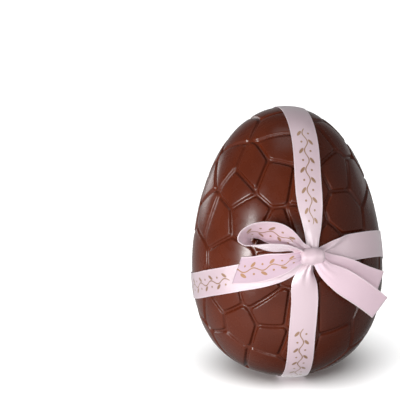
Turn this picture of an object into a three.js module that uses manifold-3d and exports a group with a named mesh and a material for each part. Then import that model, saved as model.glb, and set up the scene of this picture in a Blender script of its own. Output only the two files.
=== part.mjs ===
// A moulded chocolate egg with a crazy-paving shell, standing on its blunt end, tied both ways
// with one satin ribbon: an upright band, a level band, and a bow with one loop and three tails.
// Millimetres, +Z up. The origin is on the table, in the middle of the spot that the egg rests on.
// Bearings are degrees round the egg seen from above: 0 is the front (-Y), 90 is the right (+X).

import * as THREE from 'three';
import { ConvexHull } from 'three/addons/math/ConvexHull.js';
import { mergeVertices } from 'three/addons/utils/BufferGeometryUtils.js';
import Module from 'manifold-3d';

// ---------------------------------------------------------------- driving dimensions

const EGG_HEIGHT = 150.5;        // pointed end to blunt end, before the flat is taken off
const EGG_RADIUS = 52;           // half the width at mid-height
const EGG_TAPER = 0.167;         // how much slimmer the pointed half is than the blunt half
const EGG_FULLNESS = 0.135;      // how much both ends are filled out
const FLAT_CUT = 1.5;            // taken off the blunt end, so that the egg stands

const GROOVE_WIDTH = 2.2;        // across the top of a groove between two panels
const GROOVE_DEPTH = 1.1;
const PANEL_CROWN = 0.35;        // how far the middle of a panel swells
const HALF_CROWN = 0.28;         // the same, half way from its rim to its middle
const PANEL_ROOM = 14.5;         // the rear is filled until panel middles are this close
const PANEL_TRIES = 60;          // places tried for each of them
const PANEL_SEED = 7;
const SHORTEST_EDGE = 3;         // corners closer than this are one corner
const EDGE_STEP = 7;             // longest straight piece of a panel's outline

const RIBBON_WIDTH = 14.4;
const RIBBON_THICKNESS = 0.5;
const RIBBON_GAP = 0.3;          // between the ribbon and the flat of the egg
const BAND_CLEARANCE = 0.9;      // between a band and the rims of the panels under it
const GATHERED_WIDTH = 7;        // of the ribbon where it runs into the knot
const GATHER_REACH = [3, 26];    // how far from the knot it starts to widen, and is full again
const RIBBON_STEP = 5;           // between two rows of a band
const BOW_STEP = 4;              // between two rows of the loop or a tail
const ACROSS = [-1, -0.5, 0, 0.5, 1];   // the points of a row, from one edge to the other

const KNOT_BEARING = 14;
const KNOT_HEIGHT = 79;
const KNOT_SIZE = [13, 9.5, 8.5];   // across, up and out of the egg

// The middles of the panels on the front half: bearing and height.
const FRONT_PANELS = [
  [-8, 144], [-78, 139], [36, 134], [70, 136], [100, 121], [-100, 122],
  [-59, 123], [-29, 123], [-3, 135], [17, 115], [45, 121], [66, 113],
  [-8, 119], [-38, 113], [-77, 111], [-26, 99], [-50, 95], [-65, 98], [-98, 94],
  [-4, 91], [12, 95], [42, 100], [76, 94], [98, 99],
  [-1, 77], [23, 84], [40, 76], [60, 65], [85, 59],
  [-18, 61], [-36, 74], [-40, 55], [-74, 70], [-70, 47], [-52, 41], [-32, 39],
  [-10, 49], [9, 46], [27, 47], [61, 32], [90, 24], [70, 14], [32, 24],
  [4, 27], [-10, 31], [-17, 15], [-46, 24], [-76, 24],
];
const REAR_HALF = [100, 260];    // bearings of the panels that are set by a rule instead

// The upright band goes once round the egg in the plane of the knot. Each pair is an angle
// round it, 0 at the front and 90 on top, and how far it has wandered to the right.
const UPRIGHT_PLANE = 13.3;
const UPRIGHT_ROUTE = [
  [-90, -1.5], [-60, -3], [-40, -4], [-22, -3.1], [-5, -2.4], [5, 1.2], [16, 2.2], [45, 2.5],
  [70, 4.4], [90, 4], [105, 3], [125, 1], [150, -1], [180, 0], [210, 1], [240, 0],
];

// The level band: bearing and height. It rides up to the knot and sinks round the back.
const LEVEL_ROUTE = [
  [-72, 54], [-50, 60.5], [-30, 66], [-10, 71], [3, 75.5], [14, 79], [24, 81], [40, 80.5],
  [58, 79], [77, 75.5], [105, 67], [140, 56], [180, 49], [220, 45.5], [256, 48],
];

// The bow. Each row is a bearing, a height, how far the ribbon's middle stands off the shell,
// and how far the ribbon is rolled about its own length.
const BOW_LOOP = [
  [12, 81, 3, -20], [7, 84, 3.5, -40], [3, 87.5, 6, -52], [-2.5, 91, 8, -56], [-9, 92, 8.5, -58],
  [-15.5, 92, 9, -66], [-20.5, 90.2, 9.5, -78], [-22, 87.5, 9.5, -84], [-19.5, 85, 9.5, -84],
  [-14, 84.5, 9, -82], [-7, 84, 8, -80], [1, 83.5, 6, -70], [7.5, 82, 4.5, -60], [12, 80, 4, -50],
];
const TAIL_LEFT = [
  [12, 79, 3.5, 0], [7, 78.5, 3.5, 0], [-1, 76, 3, 0], [-9.5, 74, 2.6, 0],
  [-18, 72, 2.4, 0], [-29, 70.5, 2.7, 0],
];
const TAIL_FRONT = [
  [14, 79, 3.5, 0], [16.5, 77.5, 4, 0], [21, 71.5, 5, 0], [29, 65.5, 5.5, 0],
  [37, 60, 6, 0], [46, 53.5, 7, 0], [55.8, 46.5, 8.5, 0],
];
const TAIL_BACK = [
  [14, 79, 2.5, 0], [18, 78.5, 2.5, 0], [26, 74, 2.5, 0], [35, 69, 3, 0],
  [45.5, 63.5, 4, 0], [58, 58, 6, 0],
];
const CUT_LEFT = -6;             // how much further a slanted cut runs at one edge
const CUT_FRONT = -3.3;
const CUT_BACK = -2;

// ---------------------------------------------------------------- the shell of the egg

const FLAT_Z = RIBBON_THICKNESS + RIBBON_GAP;
const MIDDLE_Z = FLAT_Z - FLAT_CUT + EGG_HEIGHT / 2;
const HEART = new THREE.Vector3(0, 0, MIDDLE_Z);

const rad = THREE.MathUtils.degToRad;

/** The egg's outline at a tilt from the pointed end: radius, height and outward normal. */
function outlineAt(tilt) {
  const u = Math.cos(tilt);
  const form = 1 - EGG_TAPER * u + EGG_FULLNESS * u * u;
  const change = -EGG_TAPER + 2 * EGG_FULLNESS * u;
  const radius = EGG_RADIUS * Math.sin(tilt) * form;
  const slope = EGG_RADIUS * (u * form - Math.sin(tilt) ** 2 * change);
  const normal = new THREE.Vector2(EGG_HEIGHT / 2 * Math.sin(tilt), slope).normalize();
  return { radius, height: MIDDLE_Z + EGG_HEIGHT / 2 * u, normal };
}

/** A place on the shell, or lifted off it: its point and its outward normal. */
function shellAt(tilt, bearing, lift = 0) {
  const { radius, height, normal } = outlineAt(tilt);
  const out = new THREE.Vector3(Math.sin(bearing), -Math.cos(bearing), 0);
  const facing = out.clone().multiplyScalar(normal.x).setZ(normal.y);
  const point = out.multiplyScalar(radius).setZ(height).addScaledVector(facing, lift);
  return { point, normal: facing };
}

/** The same, given as degrees and millimetres above the table. */
function shellAtHeight(degrees, height, lift = 0) {
  const u = THREE.MathUtils.clamp((height - MIDDLE_Z) / (EGG_HEIGHT / 2), -1, 1);
  return shellAt(Math.acos(u), rad(degrees), lift);
}

/** The same, given as a direction from the egg's heart. */
function shellAlong(direction, lift = 0) {
  const wanted = Math.atan2(Math.hypot(direction.x, direction.y), direction.z);
  let low = 0;
  let high = Math.PI;
  for (let step = 0; step < 40; step += 1) {
    const tilt = (low + high) / 2;
    const { radius, height } = outlineAt(tilt);
    if (Math.atan2(radius, height - MIDDLE_Z) < wanted) low = tilt;
    else high = tilt;
  }
  return shellAt((low + high) / 2, Math.atan2(direction.x, -direction.y), lift);
}

const fromHeart = (point) => point.clone().sub(HEART).normalize();

// ---------------------------------------------------------------- the panels

/** Even numbers from 0 to 1 that are the same in every run. */
function* draws(seed) {
  let state = seed;
  while (true) {
    state = (Math.imul(state, 1664525) + 1013904223) >>> 0;
    yield state / 2 ** 32;
  }
}

/** The panel middles: those at the front, one underneath, and then the rear ones, each of them
 *  put where there is most room. */
function panelMiddles() {
  const middles = FRONT_PANELS.map(([bearing, height]) => shellAtHeight(bearing, height).point);
  middles.push(shellAt(Math.PI, 0).point);
  const draw = draws(PANEL_SEED);
  while (true) {
    let roomiest = { gap: 0 };
    for (let tries = 0; tries < PANEL_TRIES; tries += 1) {
      const height = MIDDLE_Z + EGG_HEIGHT * (draw.next().value - 0.5);
      const bearing = THREE.MathUtils.lerp(...REAR_HALF, draw.next().value);
      const { point } = shellAtHeight(bearing, height);
      const gap = Math.min(...middles.map((middle) => middle.distanceTo(point)));
      if (gap > roomiest.gap) roomiest = { gap, point };
    }
    if (roomiest.gap < PANEL_ROOM) return middles.map(fromHeart);
    middles.push(roomiest.point);
  }
}

/** Panel outlines as rings of corners. Three middles that are neighbours share one corner,
 *  which lies where the hull face through them points. */
function panelRings(middles) {
  const hull = new ConvexHull().setFromPoints(middles);
  const corners = [];
  const rings = middles.map(() => new Set());
  for (const face of hull.faces) {
    let corner = corners.find((other) => other.angleTo(face.normal) < SHORTEST_EDGE / EGG_RADIUS);
    if (!corner) corners.push(corner = face.normal.clone());
    for (let side = 0; side < 3; side += 1) {
      rings[middles.indexOf(face.getEdge(side).head().point)].add(corner);
    }
  }
  return rings.map((ring, index) => {
    const middle = middles[index];
    const right = [...ring][0].clone().cross(middle).normalize();
    const up = middle.clone().cross(right);
    const turn = (corner) => Math.atan2(corner.dot(up), corner.dot(right));
    const sorted = [...ring].sort((a, b) => turn(a) - turn(b));
    return sorted.map((corner) => ({ corner, order: corners.indexOf(corner) }));
  });
}

/** A ring of corners with points added along its edges. Both panels at an edge get the same. */
function outlineOf(ring) {
  const outline = [];
  ring.forEach((from, index) => {
    const to = ring[(index + 1) % ring.length];
    const [first, last] = from.order < to.order ? [from, to] : [to, from];
    const length = first.corner.angleTo(last.corner) * EGG_RADIUS;
    const count = Math.max(1, Math.round(length / EDGE_STEP));
    for (let step = 0; step < count; step += 1) {
      const share = first === from ? step / count : 1 - step / count;
      outline.push(first.corner.clone().lerp(last.corner, share).normalize());
    }
  });
  return outline;
}

/** The outline moved inwards by the same distance everywhere. */
function insetOf(outline, distance) {
  const inward = outline.map((point, index) => {
    const next = outline[(index + 1) % outline.length];
    return point.clone().cross(next.clone().sub(point)).normalize();
  });
  return outline.map((point, index) => {
    const before = inward[(index + outline.length - 1) % outline.length];
    const after = inward[index];
    const mitre = before.clone().add(after).divideScalar(1 + before.dot(after));
    const reach = distance / shellAlong(point).point.distanceTo(HEART);
    return point.clone().addScaledVector(mitre, reach).normalize();
  });
}

function eggGeometry() {
  const positions = [];
  const triangle = (...points) => points.forEach((point) => positions.push(...point.toArray()));
  const place = (direction, lift) => {
    const { point } = shellAlong(direction, lift);
    return point.setZ(Math.max(point.z, FLAT_Z));
  };
  const strip = (outer, inner) => outer.forEach((point, index) => {
    const next = (index + 1) % outer.length;
    triangle(point, outer[next], inner[index]);
    triangle(outer[next], inner[next], inner[index]);
  });
  const middles = panelMiddles();
  panelRings(middles).forEach((ring) => {
    const outline = outlineOf(ring);
    const centre = outline.reduce((sum, point) => sum.add(point), new THREE.Vector3()).normalize();
    const shoulder = insetOf(outline, GROOVE_WIDTH / 2);
    const half = shoulder.map((point) => point.clone().lerp(centre, 0.5).normalize());
    const floorRing = outline.map((point) => place(point, -GROOVE_DEPTH));
    const shoulderRing = shoulder.map((point) => place(point, 0));
    const halfRing = half.map((point) => place(point, HALF_CROWN));
    strip(floorRing, shoulderRing);
    strip(shoulderRing, halfRing);
    const top = place(centre, PANEL_CROWN);
    halfRing.forEach((point, index) => triangle(point, halfRing[(index + 1) % halfRing.length], top));
  });
  return bufferOf(positions);
}

function bufferOf(positions) {
  const geometry = new THREE.BufferGeometry();
  geometry.setAttribute('position', new THREE.Float32BufferAttribute(positions, 3));
  return mergeVertices(geometry, 1e-4);
}

// ---------------------------------------------------------------- the ribbon

/** A closed skin round rows of points. A row has the same number of points outside and inside,
 *  listed from the ribbon's one edge to the other. */
function ribbonGeometry(rows, endless) {
  const positions = [];
  const quad = (a, b, c, d) => {
    for (const point of [a, c, b, a, d, c]) positions.push(...point.toArray());
  };
  const last = rows[0].outer.length - 1;
  const count = endless ? rows.length : rows.length - 1;
  for (let index = 0; index < count; index += 1) {
    const row = rows[index];
    const next = rows[(index + 1) % rows.length];
    for (let across = 0; across < last; across += 1) {
      quad(row.outer[across], next.outer[across], next.outer[across + 1], row.outer[across + 1]);
      quad(row.inner[across + 1], next.inner[across + 1], next.inner[across], row.inner[across]);
    }
    quad(row.inner[0], next.inner[0], next.outer[0], row.outer[0]);
    quad(row.outer[last], next.outer[last], next.inner[last], row.inner[last]);
  }
  if (!endless) {
    const first = rows[0];
    const end = rows[rows.length - 1];
    for (let across = 0; across < last; across += 1) {
      quad(first.outer[across], first.outer[across + 1], first.inner[across + 1],
        first.inner[across]);
      quad(end.inner[across], end.inner[across + 1], end.outer[across + 1], end.outer[across]);
    }
  }
  return bufferOf(positions);
}

const KNOT = shellAtHeight(KNOT_BEARING, KNOT_HEIGHT);

/** The ribbon's width near the knot, where the knot gathers it, and away from it. */
function widthAt(point) {
  const share = THREE.MathUtils.smoothstep(point.distanceTo(KNOT.point), ...GATHER_REACH);
  return THREE.MathUtils.lerp(GATHERED_WIDTH, RIBBON_WIDTH, share);
}

/** A band laid on the shell along a closed route of directions from the egg's heart. */
function bandGeometry(directions) {
  const route = directions.map((direction) => shellAlong(direction).point);
  const curve = new THREE.CatmullRomCurve3(route, true);
  const count = Math.round(curve.getLength() / RIBBON_STEP);
  const rows = [];
  for (let index = 0; index < count; index += 1) {
    const { point, normal } = shellAlong(fromHeart(curve.getPointAt(index / count)));
    const side = curve.getTangentAt(index / count).cross(normal).normalize();
    const lay = (across, lift, floor) => {
      const spot = point.clone().addScaledVector(side, across * widthAt(point) / 2);
      const laid = shellAlong(fromHeart(spot), lift).point;
      return laid.setZ(Math.max(laid.z, floor));
    };
    rows.push({
      outer: ACROSS.map((across) => lay(across, BAND_CLEARANCE + RIBBON_THICKNESS, 0)),
      inner: ACROSS.map((across) => lay(across, BAND_CLEARANCE, RIBBON_THICKNESS)),
    });
  }
  return ribbonGeometry(rows, true);
}

function uprightBand() {
  const forward = new THREE.Vector3(Math.sin(rad(UPRIGHT_PLANE)), -Math.cos(rad(UPRIGHT_PLANE)), 0);
  const right = new THREE.Vector3(-forward.y, forward.x, 0);
  return bandGeometry(UPRIGHT_ROUTE.map(([angle, drift]) => {
    const direction = forward.clone().multiplyScalar(Math.cos(rad(angle)));
    direction.z = Math.sin(rad(angle));
    const reach = shellAlong(direction).point.distanceTo(HEART);
    return direction.addScaledVector(right, drift / reach).normalize();
  }));
}

function levelBand() {
  return bandGeometry(LEVEL_ROUTE.map(([bearing, height]) => (
    fromHeart(shellAtHeight(bearing, height).point))));
}

/** A loose length of ribbon through the stations of the bow, cut off at a slant. */
function looseRibbon(stations, cut = 0) {
  const points = stations.map(([bearing, height, lift]) => (
    shellAtHeight(bearing, height, lift).point));
  const curve = new THREE.CatmullRomCurve3(points, false, 'centripetal');
  const count = Math.round(curve.getLength() / BOW_STEP);
  const rows = [];
  for (let index = 0; index <= count; index += 1) {
    const at = index / count;
    const point = curve.getPointAt(at);
    const along = curve.getTangentAt(at);
    const station = curve.getUtoTmapping(at) * (stations.length - 1);
    const before = Math.min(Math.floor(station), stations.length - 2);
    const roll = THREE.MathUtils.lerp(stations[before][3], stations[before + 1][3],
      station - before);
    const { normal } = shellAlong(fromHeart(point));
    const flat = along.clone().cross(normal).normalize();
    const side = flat.applyAxisAngle(along, rad(roll));
    const facing = side.clone().cross(along).normalize();
    const reach = widthAt(point) / 2;
    const slant = index === count ? cut / 2 : 0;
    const lay = (across, offset) => point.clone().addScaledVector(side, across * reach)
      .addScaledVector(along, across * slant).addScaledVector(facing, offset);
    rows.push({
      outer: ACROSS.map((across) => lay(across, RIBBON_THICKNESS / 2)),
      inner: ACROSS.map((across) => lay(across, -RIBBON_THICKNESS / 2)),
    });
  }
  return ribbonGeometry(rows, false);
}

function knotGeometry() {
  const [across, up, out] = KNOT_SIZE;
  const ball = new THREE.SphereGeometry(1, 16, 10);
  ball.deleteAttribute('normal');
  ball.deleteAttribute('uv');
  const right = new THREE.Vector3(Math.cos(rad(KNOT_BEARING)), Math.sin(rad(KNOT_BEARING)), 0);
  const upright = KNOT.normal.clone().cross(right).normalize();
  const place = new THREE.Matrix4().makeBasis(
    right.multiplyScalar(across / 2), upright.multiplyScalar(up / 2),
    KNOT.normal.clone().multiplyScalar(out / 2));
  const lift = BAND_CLEARANCE + out / 2;
  place.setPosition(KNOT.point.clone().addScaledVector(KNOT.normal, lift));
  return mergeVertices(ball.applyMatrix4(place), 1e-4);
}

// ---------------------------------------------------------------- joining the ribbon

const wasm = await Module();
wasm.setup();

function solidOf(geometry) {
  return new wasm.Manifold(new wasm.Mesh({
    numProp: 3,
    vertProperties: new Float32Array(geometry.attributes.position.array),
    triVerts: new Uint32Array(geometry.index.array),
  }));
}

function tiedRibbon() {
  const lengths = [uprightBand(), levelBand(), knotGeometry(), looseRibbon(BOW_LOOP),
    looseRibbon(TAIL_LEFT, CUT_LEFT), looseRibbon(TAIL_FRONT, CUT_FRONT),
    looseRibbon(TAIL_BACK, CUT_BACK)];
  const mesh = lengths.map(solidOf).reduce((whole, next) => whole.add(next)).getMesh();
  const geometry = new THREE.BufferGeometry();
  geometry.setAttribute('position', new THREE.BufferAttribute(mesh.vertProperties, 3));
  geometry.setIndex(new THREE.BufferAttribute(mesh.triVerts, 1));
  return geometry;
}

// ---------------------------------------------------------------- the object

function piece(name, geometry, look) {
  const mesh = new THREE.Mesh(geometry, new THREE.MeshStandardMaterial(look));
  mesh.name = name;
  return mesh;
}

const object = new THREE.Group();
object.add(piece('egg', eggGeometry(), { color: 0x4a2015, roughness: 0.32, metalness: 0 }));
object.add(piece('ribbon', tiedRibbon(), { color: 0xe6cdd6, roughness: 0.45, metalness: 0 }));

export default object;
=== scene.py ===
# %% [markdown]
# # A moulded chocolate egg, tied both ways with satin ribbon
#
# The looks are built round a imported model that never moves. This cell loads it. Lengths are
# worked out in millimetres, as a confectioner would measure them, and become metres where a mesh is
# made.

# %% The imported model
import math

import bmesh
import bpy
import numpy as np
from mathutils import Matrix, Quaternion, Vector


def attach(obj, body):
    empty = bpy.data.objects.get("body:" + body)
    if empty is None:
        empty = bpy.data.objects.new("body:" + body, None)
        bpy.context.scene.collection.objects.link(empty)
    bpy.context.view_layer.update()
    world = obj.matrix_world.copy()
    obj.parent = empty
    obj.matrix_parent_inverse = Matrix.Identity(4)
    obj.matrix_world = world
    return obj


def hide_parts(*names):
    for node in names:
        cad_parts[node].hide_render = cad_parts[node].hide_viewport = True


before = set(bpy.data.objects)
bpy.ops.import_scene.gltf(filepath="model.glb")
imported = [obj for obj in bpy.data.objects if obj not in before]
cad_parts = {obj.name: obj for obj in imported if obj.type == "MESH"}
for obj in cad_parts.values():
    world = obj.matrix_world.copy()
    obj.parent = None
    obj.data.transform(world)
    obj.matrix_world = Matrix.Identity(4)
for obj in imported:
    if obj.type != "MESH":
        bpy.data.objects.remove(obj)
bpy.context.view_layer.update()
MM = 0.001

# %% [markdown]
# ## The viewpoint
#
# The egg stands a little right of the middle of the picture and is seen from just above, through
# a long lens that keeps its sides from bulging. A shifted lens could frame it too, but turning
# the camera keeps every other view simple. So the camera first looks straight at the egg's
# middle, and is then turned until that middle lands on the wanted spot of the picture.

# %% The egg's middle, and where the camera stands
EGG_HEIGHT = 150.5               # of the whole oval, before its blunt end is cut flat
FLAT_CUT = 1.5                   # what the flat spot takes off it
FLAT_Z = 0.8                     # the flat spot, on the ribbon that passes under the egg
MIDDLE_Z = FLAT_Z - FLAT_CUT + EGG_HEIGHT / 2
CAMERA_AWAY = 999.4              # from the egg's axis
CAMERA_HEIGHT = 323.7            # above the table

egg_middle = Vector((0, 0, MIDDLE_Z)) * MM
camera_place = Vector((0, -CAMERA_AWAY, CAMERA_HEIGHT)) * MM
look_down = math.degrees(math.atan2(CAMERA_HEIGHT - MIDDLE_Z, CAMERA_AWAY))
print("the camera looks down by", round(look_down, 1), "degrees")

# %% Camera
PICTURE_SIDE = 400               # pixels
EGG_MIDDLE_ACROSS = 286.5        # where the egg's middle lands, in pixels from the left
EGG_MIDDLE_DOWN = 241.3          # and from the top
LENS_PIXELS = 1845.4             # the focal length, in pixels of that picture
SENSOR_WIDTH = 36.0
LEAN = math.radians(0.73)        # the egg leans this much to the left in the picture

camera_data = bpy.data.cameras.new("camera")
camera_data.sensor_width = SENSOR_WIDTH
camera_data.lens = LENS_PIXELS / PICTURE_SIDE * SENSOR_WIDTH
camera = bpy.data.objects.new("camera", camera_data)
bpy.context.scene.collection.objects.link(camera)
bpy.context.scene.camera = camera

camera.location = camera_place
straight = (egg_middle - camera.location).to_track_quat("-Z", "Y")
turn_left = math.atan((EGG_MIDDLE_ACROSS - PICTURE_SIDE / 2) / LENS_PIXELS)
turn_up = math.atan((EGG_MIDDLE_DOWN - PICTURE_SIDE / 2) / LENS_PIXELS)
camera.rotation_mode = "QUATERNION"
camera.rotation_quaternion = (
    straight
    @ Quaternion((0, 0, 1), -LEAN)
    @ Quaternion((0, 1, 0), turn_left)
    @ Quaternion((1, 0, 0), turn_up)
)
print("lens, mm:", round(camera_data.lens, 1))

# %% [markdown]
# ## Writing shader sums as expressions
#
# A material is a web of nodes, and a sum such as "one minus the mask" takes three of them. This
# small class wraps one output of a node, so that `1 - mask` adds its Math node by itself. Colours
# are mixed by a Mix node, because a Math node would turn them grey, and every other node comes
# from one method, which sets the node's own settings before its inputs.

# %% The socket wrapper
COLOUR_MIX_INPUTS = (0, 6, 7)    # factor, first colour and second colour of a Mix node
COLOUR_MIX_OUTPUT = 2


class Shade:
    """One output in a material's node tree."""

    def __init__(self, tree, socket):
        self.tree = tree
        self.socket = socket

    def node(self, kind, settings=None, inputs=None, output=0):
        """A node of this kind, its settings set first and then the values or links of its inputs."""
        made = self.tree.nodes.new("ShaderNode" + kind)
        for name, value in (settings or {}).items():
            setattr(made, name, value)
        for place, value in (inputs or {}).items():
            if isinstance(value, Shade):
                self.tree.links.new(value.socket, made.inputs[place])
            else:
                made.inputs[place].default_value = value
        return Shade(self.tree, made.outputs[output])

    def math(self, operation, *values):
        return self.node("Math", {"operation": operation}, dict(enumerate(values)))

    def __add__(self, other):
        return self.math("ADD", self, other)

    def __radd__(self, other):
        return self.math("ADD", other, self)

    def __sub__(self, other):
        return self.math("SUBTRACT", self, other)

    def __rsub__(self, other):
        return self.math("SUBTRACT", other, self)

    def __mul__(self, other):
        return self.math("MULTIPLY", self, other)

    def __rmul__(self, other):
        return self.math("MULTIPLY", other, self)

    def __truediv__(self, other):
        return self.math("DIVIDE", self, other)

    def __rtruediv__(self, other):
        return self.math("DIVIDE", other, self)

    def __mod__(self, other):
        return self.math("FLOORED_MODULO", self, other)

    def __rmod__(self, other):
        return self.math("FLOORED_MODULO", other, self)

    def size(self):
        return self.math("ABSOLUTE", self)

    def sine(self):
        return self.math("SINE", self)

    def larger(self, other):
        return self.math("MAXIMUM", self, other)

    def fraction(self):
        return self.math("FRACT", self)

    def root(self):
        return self.math("SQRT", self)

    def between(self, start, end):
        """0 before the start, 1 after the end, and a soft step from one to the other."""
        limits = {"Value": self, "From Min": start, "From Max": end}
        return self.node("MapRange", {"interpolation_type": "SMOOTHSTEP"}, limits)

    def tint(self, first, second):
        """The first colour where this is 0 and the second where it is 1."""
        values = dict(zip(COLOUR_MIX_INPUTS, (self, first, second)))
        return self.node("Mix", {"data_type": "RGBA"}, values, COLOUR_MIX_OUTPUT)

    def feeds(self, shader, socket):
        """Link this to a socket of the shader."""
        self.tree.links.new(self.socket, shader.inputs[socket])


print("a shade takes + - * / and %, with another shade or a number on either side")

# %% A material with its fixed values
def new_material(name, fixed):
    """The material, its shader with the fixed values set, and the wrapper that nodes start from."""
    material = bpy.data.materials.new(name)
    material.use_nodes = True
    tree = material.node_tree
    shader = tree.nodes["Principled BSDF"]
    for socket, value in fixed.items():
        shader.inputs[socket].default_value = value
    print("material", name, "fixed:", *fixed)
    return material, shader, Shade(tree, None)


# %% [markdown]
# ## The room
#
# The egg stands on a white sweep in a small studio. The sweep has to be white without lighting
# the egg from below, and a lamp strong enough for it would flood the chocolate. So a broad soft
# sun falls on the sweep alone, and the sweep doesn't shine back on the egg.

# %% The white sweep
SWEEP_SIDE = 12.0                # metres, so that no other view finds its edge
SWEEP_FINISH = {
    "Base Color": (0.86, 0.86, 0.86, 1),
    "Roughness": 0.9,
    "Specular IOR Level": 0.1,
    "Emission Color": (1, 1, 1, 1),
    "Emission Strength": 0.03,
}


def sweep():
    """A white floor that the camera sees, but that doesn't shine back on the egg."""
    data = bpy.data.meshes.new("floor")
    half = SWEEP_SIDE / 2
    corners = [(-half, -half, 0), (half, -half, 0), (half, half, 0), (-half, half, 0)]
    data.from_pydata(corners, [], [(0, 1, 2, 3)])
    data.materials.append(new_material("white_sweep", SWEEP_FINISH)[0])
    made = bpy.data.objects.new("floor", data)
    bpy.context.scene.collection.objects.link(made)
    made.visible_diffuse = False
    made.visible_glossy = False
    return made


floor = sweep()
print("floor:", SWEEP_SIDE, "m")

# %% [markdown]
# ## The lamps
#
# Chocolate is dark and shiny, so it shows the lamps themselves more than the light that they
# give. One small lamp low at the left front makes its highlight. Satin is pale and needs a wide
# lamp to show its form, and a wide lamp would grey the chocolate, so the ribbon has a lamp on
# each side to itself. Once their pieces are made, a last cell says which lamp falls on which. The
# other lamps are faint, and fall on everything.

# %% Placing a lamp
def placed(data, bearing, height, distance):
    """A lamp that faces the egg, at a bearing round it and an angle above it."""
    made = bpy.data.objects.new(data.name, data)
    bpy.context.scene.collection.objects.link(made)
    turn = math.radians(bearing)
    rise = math.radians(height)
    out = Vector((math.sin(turn) * math.cos(rise), -math.cos(turn) * math.cos(rise), math.sin(rise)))
    made.location = egg_middle + out * distance
    made.rotation_euler = (-out).to_track_quat("-Z", "Y").to_euler()
    made.visible_camera = False
    return made


def falls_only_on(lamp, pieces):
    """Keep the lamp's light to these pieces."""
    chosen = bpy.data.collections.new("lit_by_" + lamp.name)
    for piece in pieces:
        chosen.objects.link(piece)
    lamp.light_linking.receiver_collection = chosen
    print(lamp.name, "falls on", *[piece.name for piece in pieces])


# %% The softboxes
SOFTBOXES = {                    # bearing, height; distance, width, tall in metres; power
    "shell_lamp": (-44, 5, 0.6, 0.085, 0.23, 3.4),
    "left_lamp": (-43, 3, 0.8, 0.6, 0.25, 4.8),
    "right_lamp": (48, 12, 0.8, 0.4, 0.2, 1.35),
    "front_lamp": (3, 2, 0.8, 0.3, 0.1, 1.2),
    "high_lamp": (-30, 50, 1.2, 0.6, 0.6, 0.2),
    "top_lamp": (0, 80, 1.2, 0.6, 0.6, 1.3),
    "left_rim_lamp": (-135, 5, 0.9, 0.3, 0.2, 0.6),
    "right_rim_lamp": (140, 5, 0.9, 0.3, 0.2, 0.1),
}


def softbox(name, bearing, height, distance, width, tall, power):
    """A rectangular lamp, its bearing and height in degrees and its power in watts."""
    data = bpy.data.lights.new(name, "AREA")
    data.shape = "RECTANGLE"
    data.size = width
    data.size_y = tall
    data.energy = power
    return placed(data, bearing, height, distance)


lamps = {name: softbox(name, *numbers) for name, numbers in SOFTBOXES.items()}
print("softboxes:", *lamps)

# %% The sun on the sweep
SUN_STRENGTH = 4.6
SUN_WIDTH = math.radians(65)     # the wider it is, the softer the egg's shadow
SUN_BEARING = -6
SUN_HEIGHT = 62
SUN_DISTANCE = 2                 # a sun's light is the same from any distance


def sweep_sun():
    data = bpy.data.lights.new("floor_sun", "SUN")
    data.energy = SUN_STRENGTH
    data.angle = SUN_WIDTH
    return placed(data, SUN_BEARING, SUN_HEIGHT, SUN_DISTANCE)


falls_only_on(sweep_sun(), [floor])

# %% [markdown]
# ## The sky
#
# What the shell doesn't mirror of the lamps, it mirrors of the room. A picture of a studio could
# stand in for that, but a few soft steps in brightness are enough: brighter low behind the egg,
# where its rims look, brighter over the sweep in front, and a pale wall on the right. A direction
# has three parts that run from -1 to 1, to the right, to the back and up.

# %% Sky
SKY_EVEN = 0.16
SKY_BEHIND = 0.3                 # what each region adds
SKY_BELOW_LEFT = 0.4
SKY_BELOW_FRONT = 0.6
SKY_RIGHT = 0.16
BEHIND_STEP = (0.7, 0.96)        # from where to where each fades in or out
BELOW_STEP = (-0.45, 0.02)
LEFT_STEP = (-0.8, 0)
FRONT_STEP = (-0.8, -0.1)
RIGHT_STEP = (0.55, 0.9)


def sky_light():
    sky = bpy.data.worlds.new("sky")
    sky.use_nodes = True
    background = sky.node_tree.nodes["Background"]
    towards = Shade(sky.node_tree, None).node("TexCoord", output="Generated")
    right = towards.node("SeparateXYZ", inputs={"Vector": towards}, output="X")
    back = towards.node("SeparateXYZ", inputs={"Vector": towards}, output="Y")
    up = towards.node("SeparateXYZ", inputs={"Vector": towards}, output="Z")
    behind = back.between(*BEHIND_STEP) * SKY_BEHIND
    below = 1 - up.between(*BELOW_STEP)
    below_left = below * (1 - right.between(*LEFT_STEP)) * SKY_BELOW_LEFT
    below_front = below * (1 - back.between(*FRONT_STEP)) * SKY_BELOW_FRONT
    beside = right.between(*RIGHT_STEP) * SKY_RIGHT
    strength = behind + below_left + below_front + beside + SKY_EVEN
    strength.feeds(background, "Strength")
    background.inputs["Color"].default_value = (1, 1, 1, 1)
    return sky


bpy.context.scene.world = sky_light()
bpy.context.scene.view_settings.view_transform = "Standard"
print("sky:", SKY_EVEN, "and behind the egg", round(SKY_EVEN + SKY_BEHIND, 2))

# %% [markdown]
# ## The form of the shell
#
# The egg is a mould's shape: a circle seen from above, and an oval from the side that is slimmer
# at its pointed end and filled out at both. A formula gives its outline, so that the shell, the
# ribbon and the panels all ask the same function where the surface is. A place on it is found
# from a direction out of the egg's heart, by looking the direction up in a fine table.

# %% Outline of the egg
EGG_RADIUS = 52
EGG_TAPER = 0.167                # how much slimmer the pointed end is
EGG_FULLNESS = 0.135             # how much fuller both ends are than an ellipse's
HEART = np.array([0, 0, MIDDLE_Z])


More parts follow.
